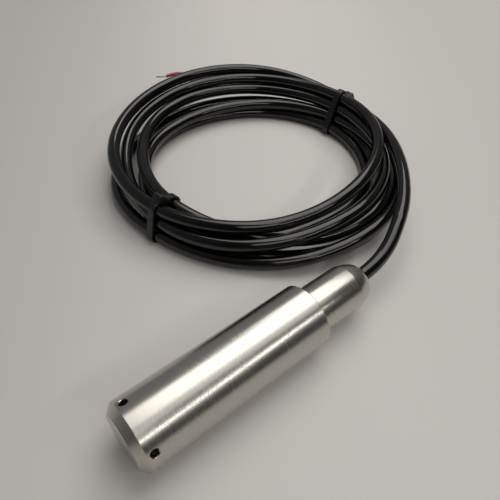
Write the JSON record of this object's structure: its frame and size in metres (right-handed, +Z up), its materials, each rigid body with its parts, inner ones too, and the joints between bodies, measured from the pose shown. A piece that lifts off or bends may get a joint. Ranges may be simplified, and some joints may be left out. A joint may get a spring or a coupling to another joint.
{
  "type": "level probe",
  "caption": "Submersible level probe: chamfered steel body with radial pressure ports, narrower domed rear cap and a vented black cable coiled and tied beside it.",
  "frame": {"origin": "on the surface that the probe lies on, under the middle of its length", "axes": "+X along the probe from its nose to its cable, +Z up, +Y towards the coil"},
  "size_m": [0.2273, 0.2148, 0.0313],
  "materials": {
    "turned_steel": "fine turned, satin",
    "bright_steel": "machined, bright",
    "foil_steel": "thin rolled foil",
    "gold_plate": "plated",
    "tinned_copper": "tinned, dull",
    "black_rubber": "moulded, matt",
    "cable_jacket": "smooth glossy polyurethane",
    "tie_nylon": "satin moulded",
    "holder_nylon": "moulded",
    "board_laminate": "green lacquer",
    "chip_resin": "moulded resin",
    "capacitor_sleeve": "shrink sleeve",
    "terminal_resin": "moulded",
    "arrester_ceramic": "glazed",
    "red_insulation": "extruded",
    "black_insulation": "extruded",
    "yellow_insulation": "extruded",
    "clear_tubing": "extruded, milky"
  },
  "bodies": {
    "root": {"sensor_housing": "turned_steel", "rear_cap": "turned_steel", "cap_o_ring": "black_rubber", "capsule_body": "bright_steel", "capsule_diaphragm": "foil_steel", "capsule_weld_ring": "bright_steel", "capsule_o_ring": "black_rubber", "capsule_lock_ring": "bright_steel", "capsule_vent_stub": "bright_steel", "capsule_pin_1": "gold_plate", "capsule_pin_2": "gold_plate", "capsule_pin_3": "gold_plate", "capsule_pin_4": "gold_plate", "sensor_wire_1": "yellow_insulation", "sensor_wire_2": "yellow_insulation", "sensor_wire_3": "yellow_insulation", "sensor_wire_4": "yellow_insulation", "board_holder_front": "holder_nylon", "board_holder_rear": "holder_nylon", "circuit_board": "board_laminate", "amplifier_chip": "chip_resin", "board_capacitor": "capacitor_sleeve", "surge_arrester": "arrester_ceramic", "terminal_block": "terminal_resin", "terminal_screw_1": "bright_steel", "terminal_screw_2": "bright_steel", "core_red": "red_insulation", "core_black": "black_insulation", "vent_tube": "clear_tubing", "cable_clamp": "tinned_copper", "gland_screw": "bright_steel", "gland_washer_inner": "bright_steel", "cable_seal": "black_rubber", "gland_washer_outer": "bright_steel", "cable_lead": "cable_jacket", "cable_coil": "cable_jacket", "cable_tie_1": "tie_nylon", "cable_tie_2": "tie_nylon", "cable_tail": "cable_jacket", "tail_core_red": "red_insulation", "tail_tip_red": "tinned_copper", "tail_core_black": "black_insulation", "tail_tip_black": "tinned_copper", "tail_vent_tube": "clear_tubing"}
  },
  "joints": []
}
